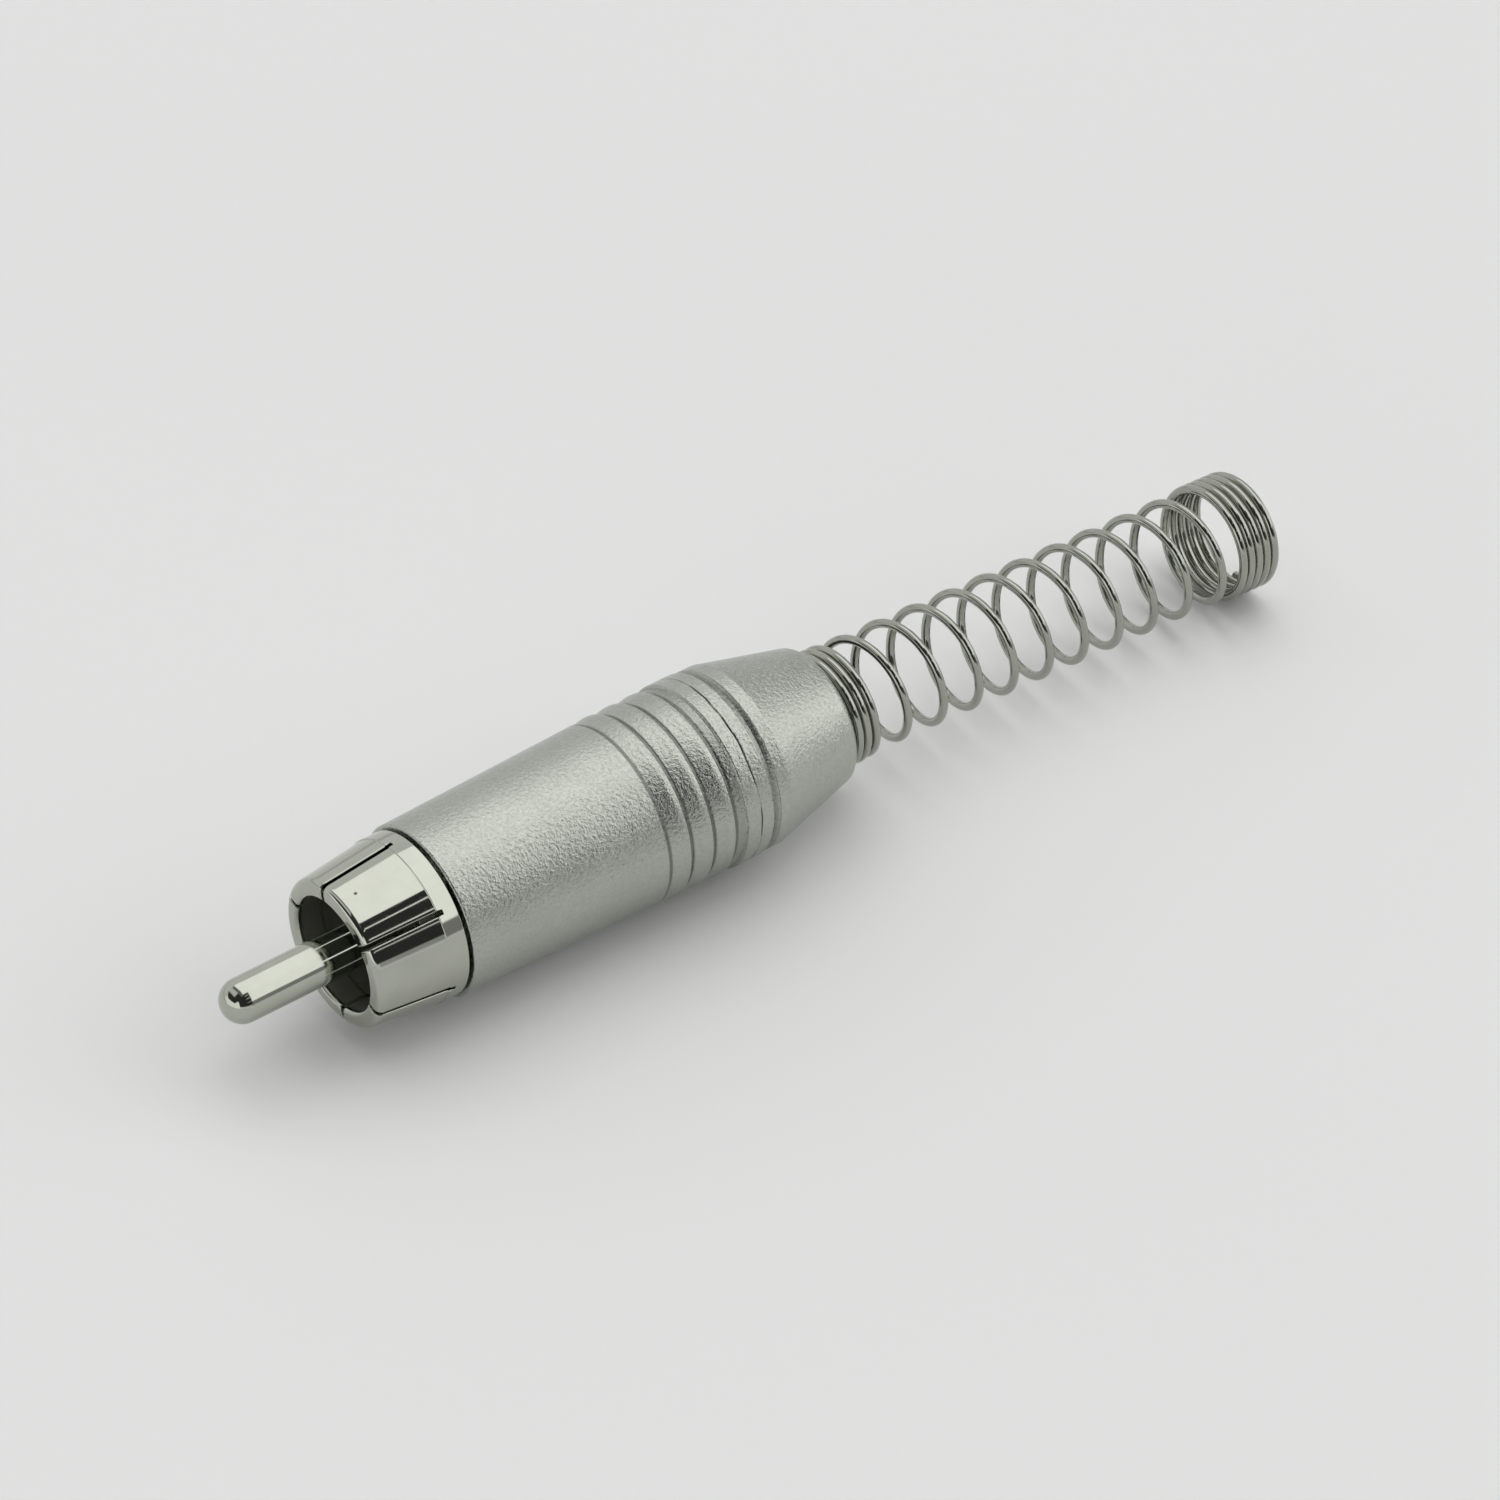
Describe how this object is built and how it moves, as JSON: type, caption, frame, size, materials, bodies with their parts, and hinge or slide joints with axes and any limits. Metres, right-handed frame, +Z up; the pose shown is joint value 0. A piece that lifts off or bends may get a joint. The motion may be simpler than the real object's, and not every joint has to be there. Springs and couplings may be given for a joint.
{
  "type": "rca plug",
  "caption": "Metal phono plug with a signal pin, a slotted tapered ground collar, a screw-on satin shell and a wire spring as bend relief.",
  "frame": {"origin": "on the plug's axis, in the plane of the ground collar's mouth", "axes": "+X runs along the axis from the pin back towards the cable, +Z is up as the plug lies, +Y completes the right-hand frame"},
  "size_m": [0.0867, 0.0136, 0.0136],
  "materials": {
    "polished_nickel": "polished nickel plate on turned brass",
    "satin_nickel": "fine blasted satin nickel plate on turned brass",
    "spring_wire": "bright drawn wire, nickel plated",
    "tinned_brass": "tinned sheet brass",
    "black_insulator": "moulded black plastic",
    "liner_plastic": "plain natural plastic tube"
  },
  "bodies": {
    "plug_body": {"center_pin": "polished_nickel", "insulator": "black_insulator", "ground_collar": "polished_nickel", "rear_washer": "black_insulator", "ground_lug": "tinned_brass"},
    "liner_sleeve": {"liner": "liner_plastic"},
    "shell_body": {"shell": "satin_nickel"},
    "spring_tail": {"spring": "spring_wire"}
  },
  "joints": [
    {"name": "shell_travel", "type": "slide", "parent": "plug_body", "child": "liner_sleeve", "axis": [1, 0, 0], "range_m": [0, 0.00525]},
    {"name": "shell_turn", "type": "hinge", "parent": "liner_sleeve", "child": "shell_body", "pos_m": [0.0199, 0, 0], "axis": [1, 0, 0], "range_deg": [0, 2520]},
    {"name": "spring_flex", "type": "hinge", "parent": "shell_body", "child": "spring_tail", "pos_m": [0.04367, 0, 0], "axis": [0, 1, 0], "range_deg": [-34, 26], "stiffness_Nm_per_rad": 0.012, "springref_deg": -0.92, "deforming": ["spring"]}
  ],
  "couplings": [
    {"joint": "shell_turn", "follows": "shell_travel", "rad_per_m": 8377.6}
  ]
}
